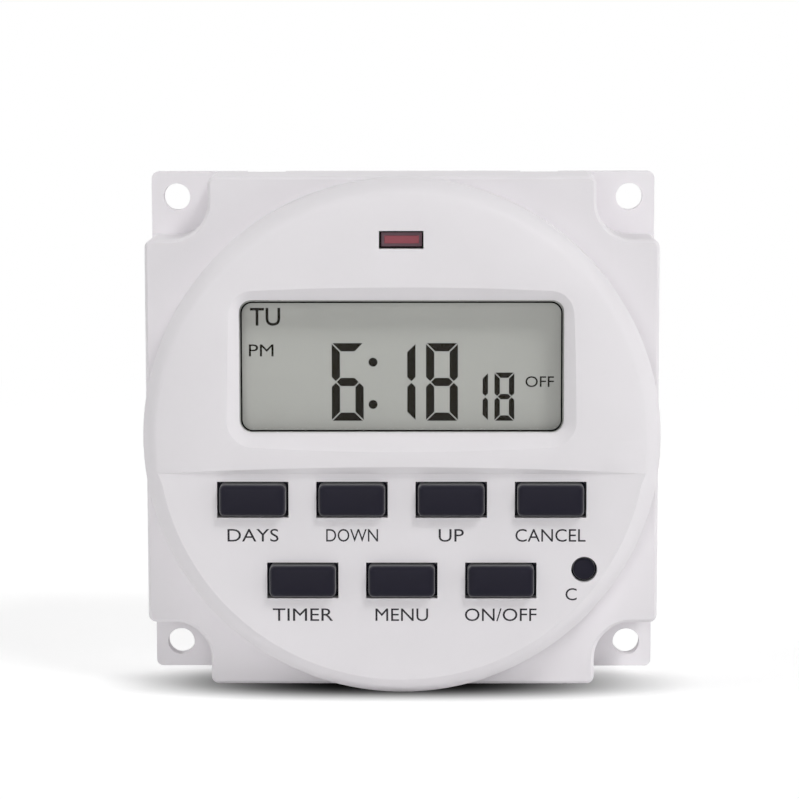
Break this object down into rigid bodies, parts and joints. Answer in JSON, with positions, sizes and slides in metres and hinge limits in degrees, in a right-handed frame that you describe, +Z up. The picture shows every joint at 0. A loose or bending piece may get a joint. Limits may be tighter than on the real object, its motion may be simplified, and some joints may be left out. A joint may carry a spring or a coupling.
{
  "type": "timer switch",
  "caption": "Square panel-mount digital timer switch with a round raised front, liquid crystal display, rubber keys, screw ears and rear push-on blade terminals.",
  "frame": {"origin": "centre of the four ear screw holes, on the face that lies on the panel", "axes": "+X to the right of the front, +Z up along the front, +Y into the panel, so the display and the keys face -Y"},
  "size_m": [0.06, 0.032, 0.06],
  "materials": {
    "cover_plastic": "fine moulded, semi-gloss",
    "housing_plastic": "moulded, semi-gloss",
    "window_clear": "clear, polished",
    "display_glass": "clear, polished",
    "polariser_film": "smooth film",
    "frame_plastic": "satin",
    "zebra_rubber": "matte",
    "lamp_red": "smooth, unlit",
    "tinned_metal": "tinned",
    "key_rubber": "satin",
    "keypad_rubber": "matte",
    "carbon": "matte",
    "control_board_green": "solder mask",
    "screw_steel": "zinc plated",
    "resin_black": "cast resin",
    "can_metal": "nickel plated",
    "header_plastic": "satin",
    "pin_brass": "gold flashed",
    "blade_brass": "tin plated",
    "power_board_tan": "bare laminate",
    "relay_base_plastic": "satin",
    "relay_case_blue": "semi-gloss",
    "bobbin_plastic": "satin",
    "winding_copper": "enamelled wire",
    "relay_iron": "nickel plated",
    "contact_bronze": "rolled",
    "film_capacitor_yellow": "smooth",
    "filter_capacitor_sleeve": "sleeved",
    "component_black": "moulded",
    "varistor_blue": "dipped",
    "fuse_coating": "coated"
  },
  "bodies": {
    "case": {"backup_battery": "can_metal", "battery_tabs": "tinned_metal", "blade_terminals": "blade_brass", "clock_crystal": "can_metal", "control_board": "control_board_green", "control_board_chips": "resin_black", "control_board_screws": "screw_steel", "controller_chip": "resin_black", "display_frame": "frame_plastic", "display_front_glass": "display_glass", "display_front_polariser": "polariser_film", "display_rear_glass": "display_glass", "display_rear_polariser": "polariser_film", "display_window": "window_clear", "driver_transistor": "component_black", "film_capacitor": "film_capacitor_yellow", "filter_capacitor": "filter_capacitor_sleeve", "front_cover": "cover_plastic", "fuse_resistor": "fuse_coating", "indicator_led": "lamp_red", "indicator_led_leads": "tinned_metal", "key_webs": "keypad_rubber", "keypad_sheet": "keypad_rubber", "link_header": "header_plastic", "link_pins": "pin_brass", "power_board": "power_board_tan", "rear_housing": "housing_plastic", "rectifier_diodes": "component_black", "relay_base": "relay_base_plastic", "relay_bobbin": "bobbin_plastic", "relay_case": "relay_case_blue", "relay_coil_pins": "tinned_metal", "relay_core": "relay_iron", "relay_fixed_contact": "contact_bronze", "relay_winding": "winding_copper", "relay_yoke": "relay_iron", "varistor": "varistor_blue", "zebra_strips": "zebra_rubber"},
    "day_key": {"day_key": "key_rubber", "day_key_contact": "carbon"},
    "hour_key": {"hour_key": "key_rubber", "hour_key_contact": "carbon"},
    "minute_key": {"minute_key": "key_rubber", "minute_key_contact": "carbon"},
    "back_key": {"back_key": "key_rubber", "back_key_contact": "carbon"},
    "time_key": {"time_key": "key_rubber", "time_key_contact": "carbon"},
    "set_key": {"set_key": "key_rubber", "set_key_contact": "carbon"},
    "mode_key": {"mode_key": "key_rubber", "mode_key_contact": "carbon"},
    "reset_key": {"reset_key": "key_rubber", "reset_key_contact": "carbon"},
    "relay_armature": {"relay_armature": "relay_iron", "relay_contact_spring": "contact_bronze"}
  },
  "joints": [
    {"name": "day_key_press", "type": "slide", "parent": "case", "child": "day_key", "axis": [0, 1, 0], "range_m": [0, 0.00085], "stiffness_N_per_m": 600, "deforming": ["key_webs"]},
    {"name": "hour_key_press", "type": "slide", "parent": "case", "child": "hour_key", "axis": [0, 1, 0], "range_m": [0, 0.00085], "stiffness_N_per_m": 600, "deforming": ["key_webs"]},
    {"name": "minute_key_press", "type": "slide", "parent": "case", "child": "minute_key", "axis": [0, 1, 0], "range_m": [0, 0.00085], "stiffness_N_per_m": 600, "deforming": ["key_webs"]},
    {"name": "back_key_press", "type": "slide", "parent": "case", "child": "back_key", "axis": [0, 1, 0], "range_m": [0, 0.00085], "stiffness_N_per_m": 600, "deforming": ["key_webs"]},
    {"name": "time_key_press", "type": "slide", "parent": "case", "child": "time_key", "axis": [0, 1, 0], "range_m": [0, 0.00085], "stiffness_N_per_m": 600, "deforming": ["key_webs"]},
    {"name": "set_key_press", "type": "slide", "parent": "case", "child": "set_key", "axis": [0, 1, 0], "range_m": [0, 0.00085], "stiffness_N_per_m": 600, "deforming": ["key_webs"]},
    {"name": "mode_key_press", "type": "slide", "parent": "case", "child": "mode_key", "axis": [0, 1, 0], "range_m": [0, 0.00085], "stiffness_N_per_m": 600, "deforming": ["key_webs"]},
    {"name": "reset_key_press", "type": "slide", "parent": "case", "child": "reset_key", "axis": [0, 1, 0], "range_m": [0, 0.00085], "stiffness_N_per_m": 600, "deforming": ["key_webs"]},
    {"name": "relay_armature_tilt", "type": "hinge", "parent": "case", "child": "relay_armature", "pos_m": [-0.0187, 0.0062, 0.005], "axis": [0, 0, -1], "range_deg": [0, 3.2], "stiffness_Nm_per_rad": 0.02}
  ]
}
